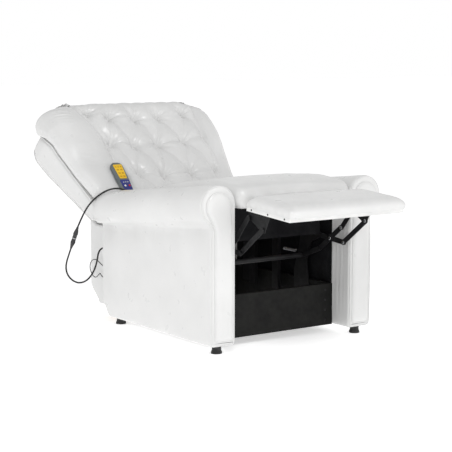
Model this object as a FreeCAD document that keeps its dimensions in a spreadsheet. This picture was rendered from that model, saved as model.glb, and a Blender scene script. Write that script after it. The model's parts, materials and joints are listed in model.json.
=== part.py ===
"""Reclining pedicure spa chair: tufted back, rolled arms, folding footrest, massage handset.

Frame: +Z up, +Y to the rear, +X to the sitter's left, origin on the floor below the middle of
the chair. Lengths are millimetres, angles degrees. Most pieces are drawn from the plane of the
arm fronts, which stands `front_to_origin` ahead of the origin.
"""
import FreeCAD, Part
import Sketcher
import math
import os
import re

from FreeCAD import Placement, Rotation, Vector

doc = FreeCAD.newDocument("SpaChair")

# ---------------------------------------------------------------- driving dimensions
DIMENSIONS = {
    # general
    "front_to_origin": 494.275,
    "floor_gap": 30,
    # arms
    "arm_inner": 273,
    "arm_outer": 378.5,
    "arm_depth": 795,
    "arm_frame_inner": 305,
    "arm_frame_thick": 40,
    "arm_panel_thick": 8,
    "roll_radius": 76,
    "roll_middle": 348,
    "roll_front_height": 553,
    "roll_rear_height": 464,
    # base
    "board_inner": 256,
    "board_thick": 17,
    "board_top": 195,
    "board_front": 112,
    "board_rear": 760,
    # seat
    "seat_front": 176,
    "seat_rear": 640,
    "seat_bottom": 390,
    "seat_top": 444,
    "seat_rail": 20,
    "seat_half_width": 238,
    "cushion_half_width": 270,
    "cushion_front": -10,
    "cushion_rear": 640,
    "cushion_bottom": 452,
    "cushion_lip_bottom": 532,
    "cushion_lip_depth": 146,
    "cushion_top": 625,
    # reclining back
    "back_base_y": 692,
    "back_base_z": 400,
    "back_tilt": 45,
    "hinge_y": 660,
    "hinge_z": 440,
    "cushion_thick": 62,
    "shell_wall": 12,
    "back_top": 650,
    "shell_bottom": 150,
    # folding linkage
    "link_half": 82.5,
    "link_width": 20,
    "link_thick": 3,
    "layer_plate": 253,
    "layer_a": 248,
    "layer_b": 243,
    "layer_c": 238,
    "pin_radius": 4,
    "pin_clearance": 0.05,
    "fixed_pivot_y": 178,
    "fixed_pivot_z": 385,
    "rocker_pivot_y": 268.85,
    "rocker_pivot_z": 290.74,
    "link_down_angle": 185.1,
    "link_up_angle": 143.3,
    "tie_angle": 130.26,
    "tie_length": 104.7,
    "footrest_tilt": 4.04,
    "footrest_rear_y": -50,
    "footrest_rear_z": 535,
    "footrest_length": 256,
    "footrest_half_width": 269,
    "footrest_board": 15,
    "footrest_pad": 42,
    # rear panel behind the arms
    "skirt_half_width": 330,
    "skirt_front": 797,
    "skirt_rear": 990,
    "skirt_top": 388,
    "skirt_bottom": 60,
    "skirt_wall": 20,
    # handset
    "handset_x": -246,
    "handset_low": 166,
    "handset_length": 160,
    "handset_width": 58,
    "handset_thick": 22,
    "button_radius": 5,
    # cords
    "cord_diameter": 7,
    "lead_diameter": 3.5,
}

sheet = doc.addObject("Spreadsheet::Sheet", "Dims")
for row, (alias, value) in enumerate(DIMENSIONS.items(), start=1):
    sheet.set(f"A{row}", alias)
    sheet.set(f"B{row}", str(value))
    sheet.setAlias(f"B{row}", alias)
doc.recompute()

ALIAS = re.compile(r"\b(" + "|".join(DIMENSIONS) + r")\b")
SIDES = {"left": 1, "right": -1}
parts = []


def formula(text):
    """The text as an expression on the sheet's cells."""
    return ALIAS.sub(r"Dims.\1", str(text))


def bind(item, prop, text):
    item.setExpression(prop, formula(text))


def keep(item, label):
    """Marks an object as a sub-part that gets a file of its own."""
    item.Label = label
    parts.append(item)
    return item


def place(item, where, rotation=None):
    """Puts an object at three formulas, y counted from the arm fronts."""
    if rotation is not None:
        item.Placement = Placement(Vector(), rotation)
    bind(item, "Placement.Base.x", where[0])
    bind(item, "Placement.Base.y", f"{where[1]} - front_to_origin")
    bind(item, "Placement.Base.z", where[2])
    return item


def loose_block(name, size):
    """A box still at the origin."""
    item = doc.addObject("Part::Box", name)
    for prop, text in zip(("Length", "Width", "Height"), size):
        bind(item, prop, text)
    return item


def block(name, low, size):
    return place(loose_block(name, size), low)


TURNS = {
    "x": Rotation(Vector(0, 1, 0), 90),
    "y": Rotation(Vector(1, 0, 0), -90),
}


def loose_rod(name, radius, length, along):
    """A cylinder from the origin along +X or +Y."""
    item = doc.addObject("Part::Cylinder", name)
    bind(item, "Radius", radius)
    bind(item, "Height", length)
    item.Placement = Placement(Vector(), TURNS[along])
    return item


def rod(name, start, radius, length, along="x"):
    """A cylinder that starts at a point and runs along +X or +Y."""
    return place(loose_rod(name, radius, length, along), start)


def combine(kind, name, base, tools):
    """Cuts the tools from the base, or fuses them to it."""
    for number, tool in enumerate(tools, start=1):
        result = doc.addObject(f"Part::{kind}", f"{name}_{number}")
        result.Base = base
        result.Tool = tool
        base = result
    return base


def group(name, items):
    """Several like pieces that share one node."""
    item = doc.addObject("Part::Compound", name)
    item.Links = items
    return keep(item, name)


def outline(body, plane, points, name="Outline"):
    """A closed sketch on one of the body's own planes, each corner held by two formulas."""
    sketch = body.newObject("Sketcher::SketchObject", name)
    origin_plane = next(f for f in body.Origin.OriginFeatures if f.Role == plane)
    sketch.AttachmentSupport = [(origin_plane, "")]
    sketch.MapMode = "FlatFace"
    count = len(points)
    start = [Vector(100, 0, 0) + 50 * Vector(math.cos(k * math.tau / count),
                                             math.sin(k * math.tau / count), 0)
             for k in range(count)]
    for k in range(count):
        sketch.addGeometry(Part.LineSegment(start[k], start[(k + 1) % count]), False)
    for k in range(count):
        sketch.addConstraint(Sketcher.Constraint("Coincident", k, 2, (k + 1) % count, 1))
    for k, corner in enumerate(points):
        for kind, now, text in zip(("DistanceX", "DistanceY"), (start[k].x, start[k].y), corner):
            number = sketch.addConstraint(Sketcher.Constraint(kind, -1, 1, k, 1, now + 1))
            bind(sketch, f"Constraints[{number}]", text)
    return sketch


def slab(name, plane, points, thickness):
    """A flat piece cut to an outline: it grows along +X from YZ, +Y from XZ and +Z from XY."""
    body = doc.addObject("PartDesign::Body", name)
    pad = body.newObject("PartDesign::Pad", "Pad")
    pad.Profile = outline(body, plane, points)
    pad.Reversed = plane == "XZ_Plane"
    bind(pad, "Length", thickness)
    return body


def mirrored(points):
    """An outline and its mirror image across the middle, from the right half's corners."""
    return points + [(f"-({x})", z) for x, z in reversed(points)]


def on_side(side, inner, thickness):
    """Where a slab of that thickness starts, so that its inner face is `inner` from the middle."""
    return inner if side > 0 else f"-({inner}) - ({thickness})"


BACK_TURN = Rotation(Vector(1, 0, 0), -DIMENSIONS["back_tilt"])


def on_back(item, x="0", w="0", v="0"):
    """Places an object drawn in the back's own frame: x across, y through it, z up its slope."""
    y = f"back_base_y + cos(back_tilt) * ({v}) + sin(back_tilt) * ({w})"
    z = f"back_base_z + sin(back_tilt) * ({v}) - cos(back_tilt) * ({w})"
    item.Placement = Placement(Vector(), BACK_TURN)
    bind(item, "Placement.Base.x", x)
    bind(item, "Placement.Base.y", f"{y} - front_to_origin")
    bind(item, "Placement.Base.z", z)
    return item


# ---------------------------------------------------------------- arms
def roll(name, radius, side):
    """The rolled top of an arm, falling towards the rear."""
    item = doc.addObject("Part::Cylinder", name)
    bind(item, "Radius", radius)
    bind(item, "Height", "arm_depth - 8")
    item.Placement = Placement(Vector(), Rotation(Vector(-1, 0, 0), 96))
    fall = "atan((roll_front_height - roll_rear_height) / arm_depth)"
    bind(item, "Placement.Rotation.Angle", f"90 deg + {fall}")
    bind(item, "Placement.Base.x", f"{side} * roll_middle")
    bind(item, "Placement.Base.y", "6 - front_to_origin")
    bind(item, "Placement.Base.z", "roll_front_height")
    return item


def arm(label, side):
    profile = [("6", "floor_gap"), ("arm_depth - 45", "floor_gap"), ("arm_depth - 12", "floor_gap + 14"),
               ("arm_depth", "floor_gap + 45"), ("arm_depth", "roll_rear_height - 5"),
               ("6", "roll_front_height - 5")]
    wall = "arm_outer - arm_inner"
    panel = place(slab(f"ArmPanel_{label}", "YZ_Plane", profile, wall),
                  (on_side(side, "arm_inner", wall), "0", "0"))
    padded = combine("Fuse", f"ArmPadded_{label}", panel, [roll(f"ArmRoll_{label}", "roll_radius", side)])
    frame_low = (on_side(side, "arm_frame_inner", "arm_frame_thick"), "40", "floor_gap + 25")
    frame_size = ("arm_frame_thick", "arm_depth - 90", "roll_rear_height - 75")
    column_width = "arm_outer - arm_inner - 28"
    column_low = (on_side(side, "arm_inner + 14", column_width), "-2", "floor_gap + 20")
    column = block(f"ArmColumn_{label}", column_low,
                   (column_width, "arm_panel_thick", "roll_front_height - 70"))
    head = rod(f"ArmHead_{label}", (f"{side} * roll_middle", "-2", "roll_front_height - 5"),
               "roll_radius - 22", "arm_panel_thick", "y")
    plaque = combine("Fuse", f"ArmPlaque_{label}", column, [head])
    pocket = block(f"ArmPocket_{label}", frame_low, frame_size)
    keep(combine("Cut", f"ArmCover_{label}", padded, [pocket, plaque]), f"arm_cover_{label}")
    keep(block(f"ArmFrame_{label}", frame_low, frame_size), f"arm_frame_{label}")
    keep(plaque, f"arm_panel_{label}")


for label, side in SIDES.items():
    arm(label, side)

# ---------------------------------------------------------------- base
base_height = "board_top - floor_gap"
keep(block("BoardFront", ("-board_inner", "board_front", "floor_gap"),
           ("2 * board_inner", "board_thick", base_height)), "base_board_front")
keep(block("BoardRear", ("-board_inner", "board_rear - board_thick", "floor_gap"),
           ("2 * board_inner", "board_thick", base_height)), "base_board_rear")
for label, side in SIDES.items():
    board_low = (on_side(side, "board_inner", "board_thick"), "board_front", "floor_gap")
    keep(block(f"BoardSide_{label}", board_low, ("board_thick", "board_rear - board_front", base_height)),
         f"base_board_{label}")

glides = []
for x in ("-332", "332"):
    for y in ("45", "arm_depth - 65"):
        foot = doc.addObject("Part::Cone", "GlideFoot")
        bind(foot, "Radius1", "21")
        bind(foot, "Radius2", "18")
        bind(foot, "Height", "floor_gap")
        glides.append(place(foot, (x, y, "0")))
group("glides", glides)

# ---------------------------------------------------------------- seat
rail_height = "seat_top - seat_bottom"
keep(block("SeatFront", ("-seat_half_width", "seat_front", "seat_bottom"),
           ("2 * seat_half_width", "seat_rail", rail_height)), "seat_rail_front")
keep(block("SeatRear", ("-seat_half_width", "seat_rear - seat_rail", "seat_bottom"),
           ("2 * seat_half_width", "seat_rail", rail_height)), "seat_rail_rear")
for label, side in SIDES.items():
    rail_inner = on_side(side, "seat_half_width - seat_rail", "seat_rail")
    rail_size = ("seat_rail", "seat_rear - seat_front - 2 * seat_rail", rail_height)
    keep(block(f"SeatSide_{label}", (rail_inner, "seat_front + seat_rail", "seat_bottom"), rail_size),
         f"seat_rail_{label}")

SPRING_PLACES = ("-160", "-80", "0", "80", "160")
group("seat_springs", [rod("SeatSpring", (x, "seat_front + seat_rail", "seat_top - 8"), "2.5",
                           "seat_rear - seat_front - 2 * seat_rail", "y") for x in SPRING_PLACES])
keep(block("SeatDeck", ("-seat_half_width", "seat_front", "seat_top"),
           ("2 * seat_half_width", "seat_rear - seat_front", "cushion_bottom - seat_top")), "seat_deck")
cushion_side = [("cushion_front", "cushion_lip_bottom + 18"), ("cushion_front + 14", "cushion_lip_bottom"),
                ("cushion_lip_depth", "cushion_lip_bottom"), ("cushion_lip_depth", "cushion_bottom"),
                ("cushion_rear", "cushion_bottom"), ("cushion_rear", "cushion_top - 25"),
                ("cushion_rear - 70", "cushion_top"), ("70", "cushion_top"), ("12", "cushion_top - 18"),
                ("cushion_front", "cushion_top - 50")]
keep(place(slab("SeatCushion", "YZ_Plane", cushion_side, "2 * cushion_half_width"),
           ("-cushion_half_width", "0", "0")), "seat_cushion")

seat_posts = []
for side in SIDES.values():
    for y in ("400", "560"):
        seat_posts.append(block("SeatPost", (on_side(side, "board_inner - 36", "16"), y, "board_top - 60"),
                                ("16", "40", "seat_bottom - board_top + 60")))
group("seat_posts", seat_posts)

# ---------------------------------------------------------------- folding footrest linkage
# On each side the lower and the cross link turn on one pin. The upper link goes on from the
# lower link's front end to the footrest's bracket, and the tie link from the cross link's.
DOWN = ("cos(link_down_angle)", "sin(link_down_angle)")
UP = ("cos(link_up_angle)", "sin(link_up_angle)")


def step(start, direction, factor):
    """The point some half-links away from another, as two formulas."""
    return tuple(f"{a} + {factor} * link_half * {b}" for a, b in zip(start, direction))


FIXED = ("fixed_pivot_y", "fixed_pivot_z")
CROSS_1 = step(FIXED, DOWN, 1)
ELBOW_1 = step(FIXED, DOWN, 2)
LOW_END = step(CROSS_1, UP, -1)
ELBOW_2 = step(CROSS_1, UP, 1)
BRACKET_FRONT = step(ELBOW_1, UP, 2)
HOLE = "pin_radius + pin_clearance"


def link(name, start, angle, halves, layer, pins, holes, side, length=None):
    """A flat bar with round ends; pins stand out of it and holes take other links' pins."""
    span = length or f"{halves} * link_half"
    bar = loose_block(name + "Bar", ("link_thick", span, "link_width"))
    bind(bar, "Placement.Base.z", "-link_width / 2")
    pieces = []
    for y in ("0", span):
        pieces.append(local_rod(name + "End", "0", y, "link_width / 2", "link_thick"))
    for number, (low, high) in pins.items():
        reach = f"{high} - ({low})"
        pieces.append(local_rod(name + "Pin", low, f"{number} * link_half", "pin_radius", reach))
    result = combine("Fuse", name + "Solid", bar, pieces)
    tools = [local_rod(name + "Hole", "-1", f"{number} * link_half", HOLE, "link_thick + 2")
             for number in holes]
    result = combine("Cut", name + "Bored", result, tools)
    return at_angle(result, layer, start, angle, side)


def local_rod(name, x, y, radius, length):
    """A rod across a link, at a distance along it."""
    item = loose_rod(name, radius, length, "x")
    bind(item, "Placement.Base.x", x)
    bind(item, "Placement.Base.y", y)
    return item


def at_angle(item, layer, start, angle, side):
    """Turns a bar drawn along +Y about X and puts it in its layer on one side of the chair."""
    if side < 0:
        flipped = doc.addObject("Part::Mirroring", item.Name + "Mirror")
        flipped.Source = item
        flipped.Normal = Vector(1, 0, 0)
        item = flipped
    item.Placement = Placement(Vector(), Rotation(Vector(1, 0, 0), 30))
    bind(item, "Placement.Rotation.Angle", angle)
    return place(item, (f"{side} * ({layer})", start[0], start[1]))


OUTWARD = ("link_thick", "2 * link_thick + 3")     # a pin that reaches the next layer outwards
INWARD = ("-5", "0")                               # and the next layer inwards
both = list(SIDES.values())
LOWER_PINS = {1: INWARD, 2: INWARD}
group("lower_links", [link("LowerLink", FIXED, "link_down_angle", 2, "layer_a", LOWER_PINS, (0,), s)
                      for s in both])
group("cross_links", [link("CrossLink", LOW_END, "link_up_angle", 2, "layer_b", {2: OUTWARD}, (1,), s)
                      for s in both])
group("upper_links", [link("UpperLink", ELBOW_1, "link_up_angle", 2, "layer_b", {}, (0, 2), s)
                      for s in both])
group("tie_links", [link("TieLink", ELBOW_2, "tie_angle", 0, "layer_a", {}, (0,), s, "tie_length")
                    for s in both])

ROCKER = ("rocker_pivot_y", "rocker_pivot_z")
rocker_run = [f"({a}) - ({b})" for a, b in zip(LOW_END, ROCKER)]
rocker_length = f"sqrt(({rocker_run[0]}) ^ 2 + ({rocker_run[1]}) ^ 2)"
rocker_angle = f"180 deg + atan(({rocker_run[1]}) / ({rocker_run[0]}))"
group("rockers", [link("Rocker", ROCKER, rocker_angle, 0, "layer_c", {}, (), s, rocker_length)
                  for s in both])
tube = rod("DriveTubeBar", ("-layer_c", *ROCKER), "10", "2 * layer_c")
stubs = [rod("DriveTubeStub", (on_side(s, "layer_c + link_thick", "15"), *ROCKER), "6", "15") for s in both]
group("drive_tube", [tube] + stubs)

plate_side = [("330", "board_top - 75"), ("335", "board_top + 30"), ("305", "board_top + 120"),
              ("288", "seat_bottom - 1"), ("200", "seat_bottom - 1"), ("190", "397"), ("166", "397"),
              ("164", "376"), ("222", "350"), ("250", "board_top + 75"), ("228", "board_top - 75")]


def mechanism_plate(label, side):
    plate = place(slab(f"MechPlate_{label}", "YZ_Plane", plate_side, "link_thick"),
                  (on_side(side, "layer_plate", "link_thick"), "0", "0"))
    bore = rod(f"MechBore_{label}", (on_side(side, "layer_plate - 1", "link_thick + 2"), *ROCKER),
               "6 + pin_clearance", "link_thick + 2")
    plate = combine("Cut", f"MechCut_{label}", plate, [bore])
    pin = rod(f"MechPin_{label}", (on_side(side, "layer_plate - 5.5", "5.5"), *FIXED), "pin_radius", "5.5")
    keep(combine("Fuse", f"MechWhole_{label}", plate, [pin]), f"mechanism_plate_{label}")


for label, side in SIDES.items():
    mechanism_plate(label, side)

tension = []
for side in both:
    tension.append(rod("TensionSpring", (f"{side} * 232", "290", "307"), "6", "90", "y"))
group("tension_springs", tension)

# ---------------------------------------------------------------- footrest
FOOT_TURN = Rotation(Vector(1, 0, 0), 4)


def on_footrest(item, x, u, n):
    """Places an object drawn in the footrest's frame: +Y to its rear edge, +Z out of its top."""
    item.Placement = Placement(Vector(), FOOT_TURN)
    bind(item, "Placement.Rotation.Angle", "footrest_tilt")
    bind(item, "Placement.Base.x", x)
    bind(item, "Placement.Base.y",
         f"footrest_rear_y + cos(footrest_tilt) * ({u}) - sin(footrest_tilt) * ({n}) - front_to_origin")
    bind(item, "Placement.Base.z",
         f"footrest_rear_z + sin(footrest_tilt) * ({u}) + cos(footrest_tilt) * ({n})")
    return item


foot_board = loose_block("FootBoard", ("2 * footrest_half_width - 8", "footrest_length", "footrest_board"))
keep(on_footrest(foot_board, "4 - footrest_half_width", "-footrest_length", "0"), "footrest_board")
pad_side = [("-footrest_length - 9", "12"), ("-footrest_length + 16", "0"), ("-14", "0"), ("6", "12"),
            ("6", "footrest_pad - 16"), ("-24", "footrest_pad"), ("-footrest_length + 26", "footrest_pad"),
            ("-footrest_length - 9", "footrest_pad - 18")]
foot_pad = slab("FootPad", "YZ_Plane", pad_side, "2 * footrest_half_width")
keep(on_footrest(foot_pad, "-footrest_half_width", "0", "footrest_board"), "footrest_pad")


def footrest_bracket(side):
    """A hanging plate with the pin that the upper link turns on."""
    corners = [(22, -14), (-10, -2), (-112, -9), (-82, -66), (-77, -77), (-62, -77), (-48, -66), (0, -40),
               (20, -38)]
    points = [(f"footrest_rear_y + {y}", f"footrest_rear_z + {z}") for y, z in corners]
    plate = place(slab("FootBracket", "YZ_Plane", points, "link_thick"),
                  (on_side(side, "layer_c", "link_thick"), "0", "0"))
    pin = rod("FootPin", (on_side(side, "layer_c + link_thick", "5"), *BRACKET_FRONT), "pin_radius", "5")
    return combine("Fuse", "FootBracketWhole", plate, [pin])


group("footrest_brackets", [footrest_bracket(s) for s in both])

# ---------------------------------------------------------------- reclining back
cushion_profile = [("-38", "24"), ("60", "24"), ("cushion_thick", "520"), ("130", "620"), ("125", "652"),
                   ("85", "690"), ("45", "705"), ("15", "692"), ("0", "640"), ("0", "164"), ("-38", "100")]
centre = slab("BackCushion", "YZ_Plane", cushion_profile, "468")
keep(on_back(centre, "-234"), "back_cushion")

bolster_profile = [("0", "190"), ("cushion_thick", "190"), ("cushion_thick", "520"), ("130", "620"),
                   ("125", "652"), ("85", "690"), ("45", "700"), ("15", "690"), ("0", "640")]
bolster_front = [("234.5", "190"), ("375", "190"), ("415", "320"), ("438", "450"), ("443", "550"),
                 ("425", "635"), ("370", "690"), ("234.5", "705")]


def bolster(label, side):
    front = bolster_front if side > 0 else [(f"-({x})", v) for x, v in reversed(bolster_front)]
    deep = slab(f"BolsterDeep_{label}", "XZ_Plane", front, "150")
    thick = slab(f"BolsterThick_{label}", "YZ_Plane", bolster_profile, "460")
    if side < 0:
        thick.Placement.Base.x = -460
    both_ways = doc.addObject("Part::Common", f"Bolster_{label}")
    both_ways.Base = deep
    both_ways.Tool = thick
    keep(on_back(both_ways), f"bolster_{label}")


for label, side in SIDES.items():
    bolster(label, side)

shell_profile = [("cushion_thick + 0.5", "shell_bottom"), ("150", "shell_bottom"), ("232", "600"),
                 ("218", "back_top"), ("150", "back_top"), ("131", "620"), ("cushion_thick + 0.5", "519")]
shell_front = [("368", "shell_bottom"), ("405", "320"), ("425", "450"), ("430", "550"), ("412", "615"),
               ("360", "back_top")]
hollow_profile = [("cushion_thick - 10", "shell_bottom + shell_wall"), ("138", "shell_bottom + shell_wall"),
                  ("219", "598"), ("206", "back_top - shell_wall"), ("157", "back_top - shell_wall"),
                  ("140", "606"), ("cushion_thick - 10", "490")]
hollow_front = [("356", "shell_bottom + shell_wall"), ("393", "320"), ("413", "450"), ("418", "550"),
                ("402", "608"), ("354", "back_top - shell_wall")]


def crossed(name, front, profile):
    """What an outline seen from the front and one seen from the side have in common."""
    deep = slab(name + "Front", "XZ_Plane", mirrored(front), "240")
    wide = slab(name + "Side", "YZ_Plane", profile, "880")
    wide.Placement.Base.x = -440
    result = doc.addObject("Part::Common", name)
    result.Base = deep
    result.Tool = wide
    return result


slots = []
for side in both:
    slot = loose_block("ShellSlot", ("8", "60", "30"))
    bind(slot, "Placement.Base.x", on_side(side, "240", "8"))
    bind(slot, "Placement.Base.y", "cushion_thick - 10")
    bind(slot, "Placement.Base.z", "shell_bottom - 10")
    slots.append(slot)
shell = combine("Cut", "BackShell", crossed("ShellOuter", shell_front, shell_profile),
                [crossed("ShellHollow", hollow_front, hollow_profile)] + slots)
keep(on_back(shell), "back_shell")

for label, side in SIDES.items():
    post = loose_block(f"BackPost_{label}", ("30", "30", "326"))
    keep(on_back(post, on_side(side, "246", "30"), "66", "170"), f"back_post_{label}")
keep(on_back(loose_block("BackRailLow", ("482", "30", "30")), "-241", "66", "170"), "back_rail_low")
rail_top = loose_block("BackRailTop", ("600", "26", "22"))
keep(on_back(rail_top, "-300", "78", "497"), "back_rail_top")

back_springs = []
for x in SPRING_PLACES:
    wire = doc.addObject("Part::Cylinder", "BackSpring")
    bind(wire, "Radius", "2.5")
    bind(wire, "Height", "296")
    back_springs.append(on_back(wire, x, "81", "200.5"))
group("back_springs", back_springs)

motors = []
for x in ("-120", "120"):
    for v in ("250", "410"):
        motor = doc.addObject("Part::Compound", "MassageMotorTurned")
        motor.Links = [loose_rod("MassageMotor", "26", "26", "y")]
        motors.append(on_back(motor, x, "86", v))
group("massage_motors", motors)

arm_profile = [("-64", "6"), ("-52", "-8"), ("-36", "-6"), ("92", "40"), ("96", "300"), ("68", "300"),
               ("66", "148"), ("50", "60"), ("-40", "18")]
HINGE = ("hinge_y", "hinge_z")


def back_arm(side):
    plate = on_back(slab("BackArm", "YZ_Plane", arm_profile, "4"), on_side(side, "242", "4"))
    bore = rod("BackArmBore", (on_side(side, "241", "6"), *HINGE), "7 + pin_clearance", "6")
    return combine("Cut", "BackArmBored", plate, [bore])


group("back_arms", [back_arm(s) for s in both])
bracket_side = [("630", "board_top - 60"), ("690", "board_top - 60"), ("680", "452"), ("668", "462"),
                ("652", "462"), ("640", "452")]


def hinge_bracket(side):
    plate = place(slab("HingeBracket", "YZ_Plane", bracket_side, "4"), (on_side(side, "252", "4"), "0", "0"))
    pin = rod("HingePin", (on_side(side, "240", "12"), *HINGE), "7", "12")
    return combine("Fuse", "HingeBracketWhole", plate, [pin])


group("hinge_brackets", [hinge_bracket(s) for s in both])

# ---------------------------------------------------------------- rear panel and its electrics
skirt_side = [("skirt_front", "skirt_bottom + 60"), ("skirt_front + 30", "skirt_bottom"),
              ("skirt_rear - skirt_wall - 70", "skirt_bottom"),
              ("skirt_rear - skirt_wall", "skirt_bottom + 70"),
              ("skirt_rear - skirt_wall", "skirt_top"), ("skirt_front", "skirt_top")]
skirt_back = [("skirt_rear - skirt_wall - 70", "skirt_bottom"), ("skirt_rear - 80", "skirt_bottom - 6"),
              ("skirt_rear - 25", "skirt_bottom + 25"), ("skirt_rear", "skirt_bottom + 80"),
              ("skirt_rear", "skirt_top"), ("skirt_rear - skirt_wall + 0.5", "skirt_top"),
              ("skirt_rear - skirt_wall + 0.5", "skirt_bottom + 70")]
for label, side in SIDES.items():
    cheek = slab(f"SkirtCheek_{label}", "YZ_Plane", skirt_side, "skirt_wall")
    keep(place(cheek, (on_side(side, "skirt_half_width - skirt_wall", "skirt_wall"), "0", "0")),
         f"skirt_cheek_{label}")
skirt_panel = slab("SkirtBack", "YZ_Plane", skirt_back, "2 * skirt_half_width")
keep(place(skirt_panel, ("-skirt_half_width", "0", "0")), "skirt_back")
keep(block("SkirtFloor", ("skirt_wall - skirt_half_width", "arm_depth + 5", "skirt_bottom + 2"),
           ("2 * (skirt_half_width - skirt_wall)", "90", "10")), "skirt_floor")
keep(block("ControlBox", ("-130", "arm_depth + 15", "skirt_bottom + 12"), ("200", "75", "60")),
     "control_box")

GLANDS = (("850", "300", "9"), ("838", "222", "6"))
group("cord_glands", [rod("CordGland", ("-skirt_half_width - 8", y, z), radius, "8")
                      for y, z, radius in GLANDS])

# ---------------------------------------------------------------- handset
half_wide = "handset_width / 2"
handset = doc.addObject("PartDesign::Body", "Handset")
hand_pad = handset.newObject("PartDesign::Pad", "Pad")
hand_pad.Profile = outline(handset, "XZ_Plane",
                           [(f"-{half_wide} + 5", "0"), (f"{half_wide} - 5", "0"), (half_wide, "100"),
                            (half_wide, "handset_length"), (f"-{half_wide}", "handset_length"),
                            (f"-{half_wide}", "100")])
hand_pad.Reversed = True
bind(hand_pad, "Length", "handset_thick")
doc.recompute()
corners = [f"Edge{n}" for n, edge in enumerate(hand_pad.Shape.Edges, start=1)
           if abs(edge.Length - hand_pad.Shape.BoundBox.YLength) < 0.01 and edge.CenterOfMass.z > 150]
rounding = handset.newObject("PartDesign::Fillet", "Rounding")
rounding.Base = (hand_pad, corners)
rounding.Radius = 24
BUTTONS = (("white", "-9", "30"), ("red", "11", "30"))


def button_wells(name):
    """The two holes that the buttons move in, in the handset's own frame."""
    wells = []
    for colour, x, v in BUTTONS:
        well = loose_rod(f"{name}_{colour}", "button_radius + 0.1", "6", "y")
        bind(well, "Placement.Base.x", x)
        bind(well, "Placement.Base.y", "-2")
        bind(well, "Placement.Base.z", v)
        wells.append(well)
    return wells


handset_solid = combine("Cut", "HandsetSolid", handset, button_wells("ButtonWell"))
keep(on_back(handset_solid, "handset_x", "-handset_thick - 0.5", "handset_low"), "handset_body")

panel = slab("HandsetPanel", "XZ_Plane", [("-20", "6"), ("20", "6"), ("23", "62"), ("-23", "62")], "1")
panel_solid = combine("Cut", "HandsetPanelBored", panel, button_wells("PanelWell"))
keep(on_back(panel_solid, "handset_x", "-handset_thick - 1.5", "handset_low"), "handset_panel")
keypad_outline = [("-17", "68"), ("17", "68"), ("22", "146"), ("-22", "146")]
keypad = slab("HandsetKeypad", "XZ_Plane", keypad_outline, "1.5")
keep(on_back(keypad, "handset_x", "-handset_thick - 2", "handset_low"), "handset_keypad")
for colour, x, v in BUTTONS:
    button = doc.addObject("Part::Compound", f"ButtonTurned_{colour}")
    button.Links = [loose_rod(f"Button_{colour}", "button_radius", "4", "y")]
    keep(on_back(button, f"handset_x + {x}", "-handset_thick - 3.5", f"handset_low + {v}"),
         f"button_{colour}")

# ---------------------------------------------------------------- cords
# Each route is a list of corners, y counted from the arm fronts, that tangent arcs round off.
ROUTES = {
    "handset_lead": ("cord_diameter", [
        (-246, 801.2, 525.5), (-246, 784, 508.3), (-247, 767, 492), (-250, 748, 482), (-256, 727, 486),
        (-263, 712, 502), (-271, 706, 522), (-281, 705.5, 538), (-293, 705.5, 549), (-306, 705.5, 549)]),
    "cord_upper": ("cord_diameter", [
        (-306.1, 705.5, 549), (-320, 705.5, 549), (-338, 718, 558), (-358, 738, 558), (-383, 759, 547),
        (-409, 780, 525), (-430, 799, 496), (-444, 816, 465), (-452, 836, 430), (-456, 858, 395)]),
    "cord_lower": ("cord_diameter", [
        (-462, 909, 299), (-463.4, 921, 276.5), (-464, 942, 243), (-463, 953, 213), (-459, 947, 184),
        (-451, 919, 163), (-438, 888, 155), (-422, 857, 166), (-406, 838, 192), (-392, 832, 222),
        (-380, 836, 252), (-371, 843, 279), (-356, 849, 297), (-338, 850, 300)]),
    "thin_lead": ("lead_diameter", [
        (-338, 838, 222), (-347, 840, 223), (-355, 850, 234), (-357, 874, 246), (-356, 905, 247),
        (-354, 936, 232), (-352, 948, 204), (-352, 930, 178), (-353, 898, 168), (-354, 872, 184),
        (-356, 852, 196), (-362, 834, 184), (-366, 795, 180)]),
}


def rounded_path(points):
    """Straight runs joined by tangent arcs, as large as the runs beside each corner allow."""
    edges = []
    radii = []
    start = points[0]
    for before, corner, after in zip(points, points[1:], points[2:]):
        arriving = (corner - before).normalize()
        leaving = (after - corner).normalize()
        half_turn = arriving.getAngle(leaving) / 2
        setback = 0.45 * min((corner - before).Length, (after - corner).Length)
        radius = setback / math.tan(half_turn)
        radii.append(radius)
        arc_start = corner - arriving * setback
        arc_end = corner + leaving * setback
        inward = (leaving - arriving).normalize()
        middle = corner + inward * (radius / math.cos(half_turn) - radius)
        edges.append(Part.LineSegment(start, arc_start).toShape())
        edges.append(Part.Arc(arc_start, middle, arc_end).toShape())
        start = arc_end
    edges.append(Part.LineSegment(start, points[-1]).toShape())
    return Part.Wire(edges), radii


def cord(label, diameter, corners):
    """A round tube along a rounded path."""
    shift = Vector(0, -sheet.front_to_origin, 0)
    path, radii = rounded_path([Vector(*corner) + shift for corner in corners])
    first = path.Edges[0]
    ring = Part.Circle(first.Vertexes[0].Point, first.tangentAt(first.FirstParameter), diameter / 2)
    tube = path.makePipeShell([Part.Wire(ring.toShape())], True, False)
    item = doc.addObject("Part::Feature", label.title().replace("_", ""))
    item.Shape = tube
    expected = math.pi * diameter ** 2 / 4 * path.Length
    print(f"{label}: length {path.Length:.0f}, least radius {min(radii):.1f},",
          f"volume ratio {tube.Volume / expected:.4f}")
    return keep(item, label)


for label, (width, corners) in ROUTES.items():
    cord(label, getattr(sheet, width), corners)

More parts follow.
